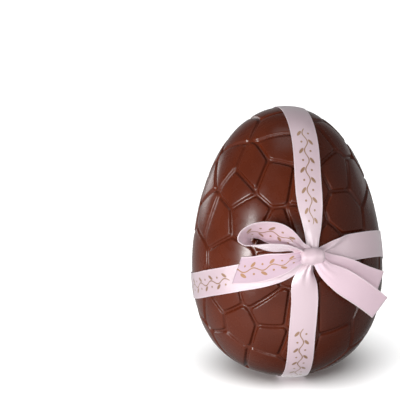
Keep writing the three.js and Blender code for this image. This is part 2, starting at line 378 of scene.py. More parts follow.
def outline_at(tilt):
    """Radius, height and the two parts of the normal, at a tilt from the pointed end."""
    u = np.cos(tilt)
    form = 1 - EGG_TAPER * u + EGG_FULLNESS * u * u
    change = -EGG_TAPER + 2 * EGG_FULLNESS * u
    outward = EGG_HEIGHT / 2 * np.sin(tilt)
    upward = EGG_RADIUS * (u * form - np.sin(tilt) ** 2 * change)
    size = np.hypot(outward, upward)
    return EGG_RADIUS * np.sin(tilt) * form, MIDDLE_Z + EGG_HEIGHT / 2 * u, outward / size, upward / size


def shell_at(tilt, bearing, lift=0.0):
    """Points on the shell, or lifted off it, and their normals."""
    radius, height, outward, upward = outline_at(tilt)
    round_it = np.stack([np.sin(bearing), -np.cos(bearing)], -1)
    point = np.concatenate([round_it * radius[..., None], height[..., None]], -1)
    normal = np.concatenate([round_it * outward[..., None], upward[..., None]], -1)
    return point + normal * np.asarray(lift)[..., None], normal


def shell_at_height(degrees, height, lift=0.0):
    """The same, given as a bearing in degrees and a height above the table."""
    u = np.clip((np.asarray(height, float) - MIDDLE_Z) / (EGG_HEIGHT / 2), -1, 1)
    return shell_at(np.arccos(u), np.radians(np.asarray(degrees, float)), lift)


print("radius at half the height, mm:", round(float(outline_at(math.pi / 2)[0]), 1))

# %% The shell in any direction
TILT_COUNT = 20001
TILTS = np.linspace(0, math.pi, TILT_COUNT)
TILT_RADII, TILT_HEIGHTS, _, _ = outline_at(TILTS)
TILT_ANGLES = np.arctan2(TILT_RADII, TILT_HEIGHTS - MIDDLE_Z)


def shell_along(direction, lift=0.0):
    """Points on the shell and their normals, given as directions from the egg's heart."""
    angle = np.arctan2(np.hypot(direction[..., 0], direction[..., 1]), direction[..., 2])
    bearing = np.arctan2(direction[..., 0], -direction[..., 1])
    return shell_at(np.interp(angle, TILT_ANGLES, TILTS), bearing, lift)


def unit(vectors):
    return vectors / np.linalg.norm(vectors, axis=-1, keepdims=True)


def from_heart(points):
    return unit(points - HEART)


print("egg, mm: height", EGG_HEIGHT - FLAT_CUT, "width", round(2 * TILT_RADII.max(), 1))

# %% [markdown]
# ## Where the panels lie
#
# The shell is moulded as crazy paving: raised panels of five or six sides with grooves between
# them. Each panel is the part of the shell that lies nearer to its own middle than to any other,
# which gives straight borders and three-way corners as the mould has them. The middles on the
# front are listed, and the rear is filled by a rule that always takes the roomiest spot.

# %% Middles of the panels in front
FRONT_PANELS = [
    [-8, 144], [-78, 139], [36, 134], [70, 136], [100, 121], [-100, 122],
    [-59, 123], [-29, 123], [-3, 135], [17, 115], [45, 121], [66, 113],
    [-8, 119], [-38, 113], [-77, 111], [-26, 99], [-50, 95], [-65, 98], [-98, 94],
    [-4, 91], [12, 95], [42, 100], [76, 94], [98, 99],
    [-1, 77], [23, 84], [40, 76], [60, 65], [85, 59],
    [-18, 61], [-36, 74], [-40, 55], [-74, 70], [-70, 47], [-52, 41], [-32, 39],
    [-10, 49], [9, 46], [27, 47], [61, 32], [90, 24], [70, 14], [32, 24],
    [4, 27], [-10, 31], [-17, 15], [-46, 24], [-76, 24],
]                                # bearing and height
print("panels in front:", len(FRONT_PANELS))

# %% Middles of the other panels
REAR_HALF = (100, 260)           # bearings that the rule fills
PANEL_ROOM = 14.5                # it stops when no spot is this far from every middle
PANEL_TRIES = 60
PANEL_SEED = 7
DRAW_FACTOR = 1664525            # the two numbers of a well-known simple rule for random draws
DRAW_SHIFT = 1013904223
DRAW_RANGE = 2**32


def draws(seed):
    """Even numbers from 0 to 1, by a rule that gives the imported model's panels as well."""
    state = seed
    while True:
        state = (state * DRAW_FACTOR + DRAW_SHIFT) % DRAW_RANGE
        yield state / DRAW_RANGE


def panel_middles():
    """Directions from the heart to the middle of every panel."""
    bearings, heights = np.array(FRONT_PANELS, float).T
    middles = list(shell_at_height(bearings, heights)[0])
    middles.append(shell_at(np.array(math.pi), np.array(0.0))[0])
    draw = draws(PANEL_SEED)
    while True:
        tries = []
        for _ in range(PANEL_TRIES):
            height = MIDDLE_Z + EGG_HEIGHT * (next(draw) - 0.5)
            bearing = REAR_HALF[0] + (REAR_HALF[1] - REAR_HALF[0]) * next(draw)
            tries.append(shell_at_height(bearing, height)[0])
        away = np.linalg.norm(np.array(tries)[:, None] - np.array(middles), axis=2).min(1)
        if away.max() < PANEL_ROOM:
            return from_heart(np.array(middles))
        middles.append(tries[int(away.argmax())])


middles = panel_middles()
print("panels:", len(middles))

# %% [markdown]
# ## The borders between the panels
#
# Three neighbouring panels meet where a flat face through their middles would point, so a convex
# hull of the middles gives every corner at once. A border runs straight from corner to corner and
# is cut into short steps, which both of its panels share, so that the shell is one closed skin.

# %% Corners
def hull_corners(middles):
    """The corners, and the three panels that meet at each."""
    hull = bmesh.new()
    for middle in middles:
        hull.verts.new(middle)
    hull.verts.ensure_lookup_table()
    hull.verts.index_update()
    bmesh.ops.convex_hull(hull, input=hull.verts)
    hull.normal_update()
    corners = [np.array(face.normal) for face in hull.faces]
    meeting = [[vert.index for vert in face.verts] for face in hull.faces]
    hull.free()
    outward = [corner if corner @ middles[panels[0]] > 0 else -corner
               for corner, panels in zip(corners, meeting)]
    return unit(np.array(outward)), meeting


corners, meeting = hull_corners(middles)
panel_corners = [[] for _ in middles]
for corner_index, panels in enumerate(meeting):
    for panel in panels:
        panel_corners[panel].append(corner_index)


def in_turn(panel):
    """The panel's corners in order round its middle, anticlockwise from outside."""
    middle = middles[panel]
    right = unit(np.cross(corners[panel_corners[panel][0]], middle))
    up = np.cross(middle, right)
    turn = [math.atan2(corners[c] @ up, corners[c] @ right) for c in panel_corners[panel]]
    return [panel_corners[panel][place] for place in np.argsort(turn)]


print("corners:", len(corners))

# %% Border points
BORDER_STEP = 1.15               # between two points of a border

border_points = list(corners)
border_runs = {}


def border_run(first, last):
    """Numbers of the points from one corner up to the other, without the last."""
    low, high = sorted((first, last))
    if (low, high) not in border_runs:
        length = math.acos(min(1.0, corners[low] @ corners[high])) * EGG_RADIUS
        count = max(1, round(length / BORDER_STEP))
        inner = range(len(border_points), len(border_points) + count - 1)
        shares = [step / count for step in range(1, count)]
        border_points.extend(unit(corners[low] * (1 - s) + corners[high] * s) for s in shares)
        border_runs[low, high] = [low, *inner, high]
    run = border_runs[low, high]
    return run[:-1] if first == low else run[:0:-1]


panel_rings = []
for panel in range(len(middles)):
    order = in_turn(panel)
    ring = []
    for first, last in zip(order, order[1:] + order[:1]):
        ring.extend(border_run(first, last))
    panel_rings.append(ring)
print("borders:", len(border_runs), "border points:", len(border_points))

# %% [markdown]
# ## The relief of a panel
#
# Seen in section, a groove has a narrow flat floor and a soft wall on each side, and the panel
# swells a little towards its middle. A bump map could draw that, but the light catches both walls
# of each groove, so it is modelled. The height depends on the distance to the nearest border. The
# distances to all borders are blended, which rounds the panel's corners as a mould's are.

# %% Distance to the borders
CORNER_ROUNDING = 0.35
TINY = 1e-3


def border_distances(directions, panel, neighbours):
    """How far each direction's point on the shell is from each border of a panel."""
    across = unit(middles[panel] - middles[neighbours])
    reach = np.linalg.norm(shell_along(directions)[0] - HEART, axis=-1, keepdims=True)
    return reach * np.arcsin(np.clip(directions @ across.T, -1, 1))


def nearest(distances):
    """The smallest of the distances, blended where two are alike."""
    return -CORNER_ROUNDING * np.log(np.exp(-distances / CORNER_ROUNDING).sum(-1))


def swell(distances):
    """0 at the border of a panel, and rising smoothly inwards."""
    return (1 / np.maximum(distances, TINY) ** 2).sum(-1) ** -0.5


print("the distances to two borders are blended over, mm:", CORNER_ROUNDING)

# %% The groove, and the slight unevenness of the shell
GROOVE_DEPTH = 1.05
FLOOR_HALF = 0.32                # half the width of a groove's floor
WALL_END = 1.55                  # where its wall has risen to the panel
WAVE_COUNT = 9
WAVE_LENGTHS = (14, 46)
WAVE_HEIGHT = 0.013
WAVE_SEED = 11

wave_draw = np.random.RandomState(WAVE_SEED)
wave_ways = unit(wave_draw.normal(size=(WAVE_COUNT, 3)))
wave_turns = 2 * math.pi / wave_draw.uniform(*WAVE_LENGTHS, WAVE_COUNT)
wave_starts = wave_draw.uniform(0, 2 * math.pi, WAVE_COUNT)


def soft_step(value, start, end):
    """0 up to the start, 1 from the end on, and a soft step between them."""
    share = np.clip((value - start) / (end - start), 0, 1)
    return share * share * (3 - 2 * share)


def groove(distance):
    return -GROOVE_DEPTH * (1 - soft_step(distance, FLOOR_HALF, WALL_END))


def unevenness(points):
    return WAVE_HEIGHT * np.sin(points @ (wave_ways.T * wave_turns) + wave_starts).sum(-1)


print("groove, mm: depth", GROOVE_DEPTH, "width", 2 * WALL_END)

# %% [markdown]
# ## The shell's mesh
#
# Every panel is a set of rings that run from its border to its middle. The outer rings follow
# lines of equal distance, so the groove's wall is cut into even facets however the panel is
# shaped. The distance grows all the way in, so halving an interval a few times finds each ring.

# %% Rings of a panel
RING_DISTANCES = (FLOOR_HALF, 0.52, 0.68, 0.84, 1.0, 1.16, 1.34, WALL_END, 1.9, 2.5)
INNER_SHARES = (0.25, 0.5, 0.75)  # of the way from the last of those to the middle
FARTHEST_SHARE = 0.9             # of the way in, where the halving starts
HALVINGS = 22
PANEL_CROWN = 0.34               # how far the middle of a panel swells


def ring_shares(inwards, count, panel, neighbours):
    """How far in each ring lies at each border point, as a share of the way to the middle."""
    shares = []
    for wanted in RING_DISTANCES:
        low = np.zeros(count)
        high = np.full(count, FARTHEST_SHARE)
        for _ in range(HALVINGS):
            half = (low + high) / 2
            short = nearest(border_distances(inwards(half), panel, neighbours)) < wanted
            low = np.where(short, half, low)
            high = np.where(short, high, half)
        shares.append((low + high) / 2)
    last = shares[-1]
    return shares + [last + (1 - last) * share for share in INNER_SHARES]


def rings_of(panel):
    """Directions and lifts of a panel's rings, from the border inwards, and of its middle."""
    ring = np.array([border_points[number] for number in panel_rings[panel]])
    centre = unit(ring.sum(0))
    sharing = {other for corner in panel_corners[panel] for other in meeting[corner]}
    neighbours = sorted(sharing - {panel})

    def inwards(share):
        return unit(ring * (1 - share[:, None]) + centre * share[:, None])

    shares = ring_shares(inwards, len(ring), panel, neighbours)
    directions = np.concatenate([inwards(share) for share in shares] + [centre[None]])
    distances = border_distances(directions, panel, neighbours)
    full = swell(distances[-1:])
    rise = np.clip(swell(distances) / full, 0, 1)
    lifts = groove(nearest(distances)) + PANEL_CROWN * rise * (2 - rise)
    return directions, lifts


print("rings on a panel:", len(RING_DISTANCES) + len(INNER_SHARES))

# %% The whole skin
def shell_skin():
    """Points and faces of the whole shell."""
    directions = [np.array(border_points)]
    lifts = [np.full(len(border_points), -GROOVE_DEPTH)]
    faces = []
    rows = len(RING_DISTANCES) + len(INNER_SHARES)
    start = len(border_points)
    for panel, ring in enumerate(panel_rings):
        panel_directions, panel_lifts = rings_of(panel)
        directions.append(panel_directions)
        lifts.append(panel_lifts)
        count = len(ring)
        numbers = [ring] + [range(start + row * count, start + (row + 1) * count) for row in range(rows)]
        for outer, inner in zip(numbers, numbers[1:]):
            for place in range(count):
                after = (place + 1) % count
                faces.append((outer[place], outer[after], inner[after], inner[place]))
        top = start + rows * count
        innermost = numbers[-1]
        faces += [(innermost[p], innermost[(p + 1) % count], top) for p in range(count)]
        start = top + 1
    directions = np.concatenate(directions)
    lifts = np.concatenate(lifts)
    lifts += unevenness(shell_along(directions)[0])
    points, _ = shell_along(directions, lifts)
    points[:, 2] = np.maximum(points[:, 2], FLAT_Z)
    return points, faces


shell_points, shell_faces = shell_skin()
print("shell, mm: from", round(shell_points[:, 2].min(), 1), "to", round(shell_points[:, 2].max(), 1))

# %% [markdown]
# ## From points to a piece
#
# Every piece is made alike: its mesh is smooth shaded, its faces point outwards, it is told which
# body it rides on, the plain solid that it stands for is hidden, and it gets its finish. The ribbon
# also keeps a flat map, which says for each point how far along and across the ribbon it lies.


def lay_flat_map(data, along_and_across):
    """Keep for each point how far along and across the ribbon it lies, in metres."""
    layer = data.uv_layers.new(name="along_and_across")
    loops = np.zeros(len(data.loops), int)
    data.loops.foreach_get("vertex_index", loops)
    layer.data.foreach_set("uv", along_and_across[loops].astype(np.float32).ravel())


def new_piece(name, points, faces, material, covers, along_and_across=None):
    """A smooth mesh piece that rides on the root body, hides the node that it stands for and has its
    finish.
    """
    data = bpy.data.meshes.new(name)
    data.from_pydata((np.asarray(points) * MM).tolist(), [], faces)
    if along_and_across is not None:
        lay_flat_map(data, along_and_across)
    data.polygons.foreach_set("use_smooth", np.ones(len(data.polygons), bool))
    data.materials.append(material)
    shape = bmesh.new()
    shape.from_mesh(data)
    bmesh.ops.recalc_face_normals(shape, faces=shape.faces)
    shape.to_mesh(data)
    shape.free()
    made = bpy.data.objects.new(name, data)
    bpy.context.scene.collection.objects.link(made)
    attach(made, "root")
    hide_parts(covers)
    print(name, "triangles:", sum(len(face) - 2 for face in faces))
    return made


# %% [markdown]
# ## Milk chocolate
#
# Moulded chocolate is brown all through, with a satin shine that it takes from the polished
# mould. Two things keep it from looking like plastic: the colour drifts a little, paler where it
# cooled last, and the shine is broken by a very fine grain. Both are noises laid in space, so no
# seam shows, and the grain is low enough to blur a reflection without roughening the surface.

# %% Chocolate
CHOCOLATE_DEEP = (0.086, 0.0134, 0.0037, 1)
CHOCOLATE_PALE = (0.103, 0.0172, 0.0051, 1)
CHOCOLATE_FINISH = {"IOR": 1.40}  # a little less than glass, so its shine is softer
DRIFT_NOISE = {"Scale": 38.0, "Detail": 3.0}
BLOOM_NOISE = {"Scale": 210.0, "Detail": 4.0}
GRAIN_NOISE = {"Scale": 1900.0, "Detail": 2.0}
PALE_STEP = (0.35, 0.68)         # values of the drift where deep turns pale
BLOOM_STEP = (0.35, 0.75)        # values of the bloom where the shine turns duller
CLEAR_ROUGHNESS = 0.25
BLOOM_ROUGHNESS = 0.07           # what the bloom adds to it
GRAIN_BUMP = {"Strength": 0.08, "Distance": 0.00012}


def chocolate():
    material, shader, shade = new_material("milk_chocolate", CHOCOLATE_FINISH)
    place = shade.node("TexCoord", output="Object")
    drift = shade.node("TexNoise", inputs={"Vector": place, **DRIFT_NOISE})
    bloom = shade.node("TexNoise", inputs={"Vector": place, **BLOOM_NOISE})
    grain = shade.node("TexNoise", inputs={"Vector": place, **GRAIN_NOISE})
    drift.between(*PALE_STEP).tint(CHOCOLATE_DEEP, CHOCOLATE_PALE).feeds(shader, "Base Color")
    (CLEAR_ROUGHNESS + bloom.between(*BLOOM_STEP) * BLOOM_ROUGHNESS).feeds(shader, "Roughness")
    relief = grain * 0.5 + bloom * 0.5
    shade.node("Bump", inputs={"Height": relief, **GRAIN_BUMP}).feeds(shader, "Normal")
    return material


egg_shell = new_piece("egg_shell", shell_points, shell_faces, chocolate(), "egg")

# %% [markdown]
# ## The gold print
#
# Parts of the ribbon carry a gold print: a plain vine with leaves and berries. A picture of one
# could be laid on the ribbon, but sums on the distance along and across it stay sharp at any
# size. The stem is a sine, a leaf is a slanted oval on each half wave, and a berry is a disc.

# %% Vine
PRINT_PERIOD = 101.0             # one vine and the bare stretch after it
PRINT_LENGTH = 56.0              # the vine alone
PRINT_FADE = 1.0                 # the print starts and ends over this length
VINE_WAVE = 11.0                 # length of one wave of the stem
VINE_SWING = 1.1
STEM_HALF = 0.27
LEAF_REACH = (2.0, 0.85)         # half the length and half the width of a leaf
LEAF_OFFSET = 2.9                # of its middle from the ribbon's middle
LEAF_SLANT = math.radians(38)
LEAF_EDGE = (0.75, 1.1)          # squares of the distance between which a leaf fades
BERRY_OFFSET = 2.32
BERRY_RADIUS = 0.55
SOFT_EDGE = 0.14
HALF_WAY = (0.499, 0.501)        # of a wave, where the leaves change sides


def leaf_shade(local, out):
    """1 on a leaf, from the distances along and across the ribbon to its middle."""
    turned_along = local * math.cos(LEAF_SLANT) + out * math.sin(LEAF_SLANT)
    turned_out = out * math.cos(LEAF_SLANT) - local * math.sin(LEAF_SLANT)
    along_leaf = turned_along / LEAF_REACH[0]
    across_leaf = turned_out / LEAF_REACH[1]
    return 1 - (along_leaf * along_leaf + across_leaf * across_leaf).between(*LEAF_EDGE)


def vine(along, across, length):
    """1 on the printed vine and 0 beside it. All distances are in millimetres."""
    spot = along % PRINT_PERIOD
    stem_middle = (spot * (2 * math.pi / VINE_WAVE)).sine() * VINE_SWING
    stem = 1 - (across - stem_middle).size().between(STEM_HALF, STEM_HALF + SOFT_EDGE)
    half_wave = VINE_WAVE / 2
    side = (spot / VINE_WAVE).fraction().between(*HALF_WAY) * 2 - 1
    local = (spot % half_wave) - half_wave / 2
    leaf = leaf_shade(local, across * side + LEAF_OFFSET)
    berry_out = across * side - BERRY_OFFSET
    berry_reach = (local * local + berry_out * berry_out).root()
    berry = 1 - berry_reach.between(BERRY_RADIUS, BERRY_RADIUS + SOFT_EDGE)
    started = along.between(-PRINT_FADE, 0) * spot.between(PRINT_FADE * 0.5, PRINT_FADE * 1.5)
    return stem.larger(leaf).larger(berry) * started * (1 - spot.between(length - PRINT_FADE, length))


print("vine, mm:", PRINT_LENGTH, "in every", PRINT_PERIOD)

# %% [markdown]
# ## Satin ribbon
#
# Satin is woven so that its face threads run along the ribbon, which gives a broad soft sheen and
# hides the weave until one looks closely. Each edge ends in a selvedge, a firm cord of threads
# that stands a little proud and looks paler. The face is shiny and the reverse is matte, and the
# tails on the right turn their reverse outwards, painted a paler pink as painted light. The loop
# and the left tail are painted a deeper pink of their own, as painted shade.

# %% Weave
RIBBON_WIDTH = 15.0              # laid flat
SELVEDGE = 0.75
SELVEDGE_STEP = 0.15             # how softly the satin turns into it
THREAD = 0.22                    # from one face thread to the next
PICK = 0.9                       # from one faint rib across the ribbon to the next
PICK_RISE = 0.4                  # of a rib, beside a thread's 1
SELVEDGE_RISE = 4.0
WEAVE_BUMP = {"Strength": 0.8, "Distance": 0.000015}
WEAVE_NOISE = {"Scale": 300.0, "Detail": 3.0}
WEAVE_ROUGHNESS = 0.08           # how much duller the satin is where the noise is high
SHEEN = {"Sheen Weight": 0.8, "Sheen Roughness": 0.35}
PINK_SELVEDGE = (0.88, 0.70, 0.76, 1)
GOLD = (0.44, 0.235, 0.12, 1)
GOLD_METAL = 0.35                # a gold ink is part metal, part lacquer


def satin(name, colour, gloss, roughness, print_length=0):
    """A face of the ribbon. The gloss is its index of refraction."""
    material, shader, shade = new_material(name, {"IOR": gloss, **SHEEN})
    flat_map = shade.node("UVMap", {"uv_map": "along_and_across"})
    along = shade.node("SeparateXYZ", inputs={"Vector": flat_map}, output="X") * (1 / MM)
    across = shade.node("SeparateXYZ", inputs={"Vector": flat_map}, output="Y") * (1 / MM)
    edge_start = RIBBON_WIDTH / 2 - SELVEDGE
    edge = across.size().between(edge_start, edge_start + SELVEDGE_STEP)
    colour = edge.tint(colour, PINK_SELVEDGE)
    if print_length:
        gold = vine(along, across, print_length)
        colour = gold.tint(colour, GOLD)
        (gold * GOLD_METAL).feeds(shader, "Metallic")
    colour.feeds(shader, "Base Color")
    place = shade.node("TexCoord", output="Object")
    drift = shade.node("TexNoise", inputs={"Vector": place, **WEAVE_NOISE})
    (roughness + drift * WEAVE_ROUGHNESS).feeds(shader, "Roughness")
    threads = (across * (2 * math.pi / THREAD)).sine()
    picks = (along * (2 * math.pi / PICK)).sine()
    relief = threads + picks * PICK_RISE + edge * SELVEDGE_RISE
    shade.node("Bump", inputs={"Height": relief, **WEAVE_BUMP}).feeds(shader, "Normal")
    return material


print("threads across the ribbon:", round(RIBBON_WIDTH / THREAD))

# %% The faces of the ribbon
PINK = (0.79, 0.60, 0.665, 1)
# painted shade: a deeper pink that darkens the loop
LOOP_PINK_PAINTED_SHADE = (0.76, 0.56, 0.63, 1)
# painted shade: a deeper pink that darkens the left tail
TAIL_PINK_PAINTED_SHADE = (0.67, 0.49, 0.58, 1)
# the matte reverse, painted paler as painted light on the tails on the right
REVERSE_PINK_WITH_PAINTED_LIGHT = (0.90, 0.675, 0.765, 1)
FACE_GLOSS = 2.45                # long threads shine more than their silk alone would
FACE_ROUGHNESS = 0.28
MATTE_GLOSS = 1.5
MATTE_ROUGHNESS = 0.42
KNOT_GLOSS = 1.9                 # the knot's satin is strained, so its shine lies in between
KNOT_ROUGHNESS = 0.38
LOOP_PRINT = 27.0                # how much of the vine the loop shows

printed_face = satin("printed_satin", PINK, FACE_GLOSS, FACE_ROUGHNESS, PRINT_LENGTH)
printed_loop_in_painted_shade = satin("printed_loop_of_satin_in_painted_shade", LOOP_PINK_PAINTED_SHADE, FACE_GLOSS, FACE_ROUGHNESS, LOOP_PRINT)
printed_tail_in_painted_shade = satin("printed_tail_of_satin_in_painted_shade", TAIL_PINK_PAINTED_SHADE, MATTE_GLOSS, MATTE_ROUGHNESS, PRINT_LENGTH)
knot_satin = satin("bare_satin", PINK, KNOT_GLOSS, KNOT_ROUGHNESS)
reverse = satin("reverse_of_the_satin_with_painted_light", REVERSE_PINK_WITH_PAINTED_LIGHT, MATTE_GLOSS, MATTE_ROUGHNESS)

# %% [markdown]
# ## A length of ribbon
#
# However it is tied, a ribbon is a long strip with a row of points across it every millimetre or
# so. A cloth simulation would settle it, but a taut band shows the hands that pulled it, so the
# rows are laid by rule. This cell turns such rows into a closed skin of the ribbon's thickness,
# and keeps for every point how far along and across the ribbon it lies.

# %% Skin round the rows of a ribbon
RIBBON_THICKNESS = 0.3
EDGE_THICKNESS = 0.42            # of the selvedge
HALF_ACROSS = np.array([0, 0.15, 0.3, 0.45, 0.6, 0.75, 0.87, 0.93, 0.975, 1])
ACROSS = np.concatenate([-HALF_ACROSS[:0:-1], HALF_ACROSS])


def ribbon_skin(grid):
    """Points and faces of a ribbon whose middle layer is a grid of rows."""
    normal = unit(np.cross(np.gradient(grid, axis=1), np.gradient(grid, axis=0)))
    on_selvedge = np.abs(ACROSS) > 1 - SELVEDGE / (RIBBON_WIDTH / 2)
    half = np.where(on_selvedge, EDGE_THICKNESS, RIBBON_THICKNESS)[None, :, None] / 2
    rows, count = grid.shape[:2]
    points = np.concatenate([grid + normal * half, grid - normal * half]).reshape(-1, 3)
    outer = np.arange(rows * count).reshape(rows, count)
    inner = outer + rows * count
    faces = []
    for layer, flip in ((outer, 1), (inner, -1)):
        quads = np.stack([layer[:-1, :-1], layer[:-1, 1:], layer[1:, 1:], layer[1:, :-1]], -1)
        faces += [tuple(quad[::flip]) for quad in quads.reshape(-1, 4).tolist()]
    rim = list(outer[0, :-1]) + list(outer[:-1, -1]) + list(outer[-1, :0:-1]) + list(outer[:0:-1, 0])
    shift = rows * count
    for first, last in zip(rim, rim[1:] + rim[:1]):
        faces.append((int(last), int(first), int(first) + shift, int(last) + shift))
    return points, faces


print("points across the ribbon:", len(ACROSS))

# %% A piece of ribbon
def lengths_of(middle):
    """The length of a line up to each of its points."""
    steps = np.linalg.norm(np.diff(middle, axis=0), axis=1)
    return np.concatenate([[0], np.cumsum(steps)])


def new_ribbon(name, grid, material, print_start=0.0):
    """A piece of ribbon from its rows, which hides the imported ribbon."""
    points, faces = ribbon_skin(grid)
    along = lengths_of(grid[:, len(ACROSS) // 2])
    across = ACROSS * RIBBON_WIDTH / 2
    flat = np.stack(np.broadcast_arrays(along[:, None] - print_start, across[None]), -1)
    flat = np.concatenate([flat, flat]).reshape(-1, 2) * MM
    made = new_piece(name, points, faces, material, "ribbon", flat)
    print(name, "length, mm:", round(float(along[-1]), 1))
    return made


# %% [markdown]
# ## Smooth lines through chosen stations
#
# A ribbon's line is set by a few stations, each with its place and its roll. A curve object could
# carry it, but twisting one by hand is fiddly. So one function draws a smooth curve through any
# list of values, and another spaces points evenly along the result.

# %% Curves and even steps
ROW_STEP = 0.8                   # between two rows of the ribbon


def smooth_through(values, knots, places):
    """Values at places between the knots, on a smooth curve through the values at the knots."""
    values = np.asarray(values, float)
    slope = np.gradient(values, knots, axis=0)
    index = np.clip(np.searchsorted(knots, places, side="right") - 1, 0, len(knots) - 2)
    step = knots[index + 1] - knots[index]
    t = (places - knots[index]) / step
    if values.ndim > 1:
        step = step[:, None]
        t = t[:, None]
    first = values[index] * (1 + 2 * t) * (1 - t) ** 2 + slope[index] * step * t * (1 - t) ** 2
    return first + values[index + 1] * t * t * (3 - 2 * t) - slope[index + 1] * step * t * t * (1 - t)


def even_steps(points, *others):
    """The same line in steps of the ribbon's rows, with whatever else belongs to each point."""
    lengths = lengths_of(points)
    wanted = np.linspace(0, lengths[-1], round(lengths[-1] / ROW_STEP) + 1)
    evened = [np.stack([np.interp(wanted, lengths, column) for column in points.T], -1)]
    return evened + [np.interp(wanted, lengths, other) for other in others]


def width_near_knot(distance, stations):
    """The width at a distance from the knot, from pairs of distance and width."""
    distances, widths = np.array(stations, float).T
    flat = smooth_through(widths, distances, np.clip(distance.ravel(), distances[0], distances[-1]))
    return flat.reshape(distance.shape)


print("rows in 100 mm of ribbon:", round(100 / ROW_STEP))

# %% [markdown]
# ## Where the knot gathers the ribbon
#
# All the strips meet in the knot, which squeezes each to a third of its width. Satin can't
# shrink, so it arches up in a dome and breaks into shallow pleats that die out a finger's width
# away. A cosine across the ribbon draws the pleats, and soft steps along it let them fade.

# %% Pleats and domes
PLEAT_TURN = 8.5                 # how fast the pleats follow one another across the ribbon
PLEAT_DEPTH = 0.3
PLEAT_FULL = 3                   # they are at full depth up to here, from the knot


def fading(distance, start, end):
    """1 up to the start and 0 from the end on."""
    return 1 - soft_step(distance, start, end)


def dome(across):
    """1 along the middle of the ribbon and 0 at its edges."""
    return 1 - across ** 2


def pleats(from_knot, across, reach, shift, depth=PLEAT_DEPTH):
    """Shallow folds that fade away over their reach, shifted across the ribbon."""
    fade = fading(from_knot, PLEAT_FULL, reach)
    return depth * fade * np.cos(PLEAT_TURN * across + shift) * (1 - across ** 4)


print("pleats across the ribbon:", round(PLEAT_TURN / math.pi, 1))

# %% [markdown]
# ## The two bands
#
# One band runs up over the pointed end and back under the egg, the other round its waist. Both
# lie tight on the shell. A shrinkwrap would pull a flat strip onto it, but it stretches the edges,
# so the rows are laid on the shell by its own formula and then lifted where the band arches.

# %% Rows of a band
BAND_LIFT = 0.68                 # from the shell to the middle of the ribbon's thickness
BAND_WIDTH = 14.4                # as it lies curved over the shell
BAND_STEPS = 1441                # points of its route, one every quarter of a degree
UNDER_Z = 0.24                   # height of its middle layer where it passes under the egg


def band_rows(directions, width_at, arch_at):
    """Rows of a band along directions from the heart. width_at gives the width at a distance
    from both ends, and arch_at the lift there for each place across."""
    route, _ = shell_along(directions)
    line = even_steps(route)[0]
    line, normal = shell_along(from_heart(line))
    along = unit(np.gradient(line, axis=0))
    side = unit(np.cross(along, normal))
    lengths = lengths_of(line)
    from_start = lengths[:, None]
    from_end = lengths[-1] - from_start
    half = width_at(from_start, from_end) / 2
    spots = line[:, None] + side[:, None] * (ACROSS * half)[..., None]
    lifts = BAND_LIFT + arch_at(from_start, from_end, ACROSS[None])
    rows, _ = shell_along(from_heart(spots), lifts)
    rows[..., 2] = np.maximum(rows[..., 2], UNDER_Z)
    return rows


print("band, mm: width", BAND_WIDTH, "gap to the shell", round(BAND_LIFT - RIBBON_THICKNESS / 2, 2))

# %% [markdown]
# ## The upright band
#
# It starts at the knot, climbs over the pointed end, comes down the back, and returns under the
# egg to the knot. Its plane is turned a little, because the knot sits right of the middle, and
# it drifts to and fro as a hand-tied ribbon does. Below the knot it is creased down its middle.

# %% Route and widths of the upright band
UPRIGHT_PLANE = math.radians(13.3)
UPRIGHT_ROUTE = [
    [-120, 0], [-90, -1.5], [-60, -3], [-40, -4], [-22, -3.1], [-5, -2.4], [5, 1.2], [16, 2.2],
    [45, 2.5], [70, 4.4], [90, 4], [105, 3], [125, 1], [150, -1], [180, 0], [210, 1], [240, 0],
    [270, -1.5], [300, -3], [320, -4], [338, -3.1], [355, -2.4], [365, 1.2], [376, 2.2],
]                                # angle round the egg, and drift to the right
KNOT_ANGLE = 4.8
WIDTHS_ABOVE = [[0, 6.4], [4, 6.4], [9, 7.4], [14, 9.3], [20, 11.4], [26, 13.3], [33, BAND_WIDTH]]
WIDTHS_BELOW = [[0, 4.6], [4, 4.8], [7, 6.6], [11, 10.6], [15, 13.3], [20, BAND_WIDTH]]


def upright_directions():
    angles, drifts = np.array(UPRIGHT_ROUTE, float).T
    wanted = np.linspace(KNOT_ANGLE, KNOT_ANGLE + 360, BAND_STEPS)
    drift = smooth_through(drifts, angles, wanted)
    turn = np.radians(wanted)
    forward = np.array([math.sin(UPRIGHT_PLANE), -math.cos(UPRIGHT_PLANE), 0])
    right = np.array([-forward[1], forward[0], 0])
    straight = np.cos(turn)[:, None] * forward + np.sin(turn)[:, None] * np.array([0, 0, 1])
    reach = np.linalg.norm(shell_along(straight)[0] - HEART, axis=1)
    return unit(straight + right * (drift / reach)[:, None])


def upright_width(from_start, from_end):
    return np.minimum(width_near_knot(from_start, WIDTHS_ABOVE), width_near_knot(from_end, WIDTHS_BELOW))


print("drift of the upright band, mm:", max(abs(drift) for _, drift in UPRIGHT_ROUTE), "at most")

# %% The upright band
ARCH_ABOVE = 1.0                 # how far it arches up where it leaves the knot upwards
ARCH_BELOW = 2.0                 # and downwards
CREASE_BELOW = 1.1               # depth of the crease down its middle there
CREASE_PLACE = 0.05              # across the ribbon, from -1 to 1
CREASE_WIDTH = 0.2


def upright_arch(from_start, from_end, across):
    above = ARCH_ABOVE * fading(from_start, start=5, end=30) * dome(across)
    below = ARCH_BELOW * fading(from_end, start=4, end=24) * dome(across)
    crease = np.exp(-((across - CREASE_PLACE) / CREASE_WIDTH) ** 2) * fading(from_end, start=6, end=20)
    pleats_above = pleats(from_start, across, reach=15, shift=0.8)
    pleats_below = pleats(from_end, across, reach=18, shift=2.2)
    return above + below - CREASE_BELOW * crease + (pleats_above + pleats_below)


upright_rows = band_rows(upright_directions(), upright_width, upright_arch)
upright_ribbon = new_ribbon("upright_band", upright_rows, printed_face, print_start=16.0)

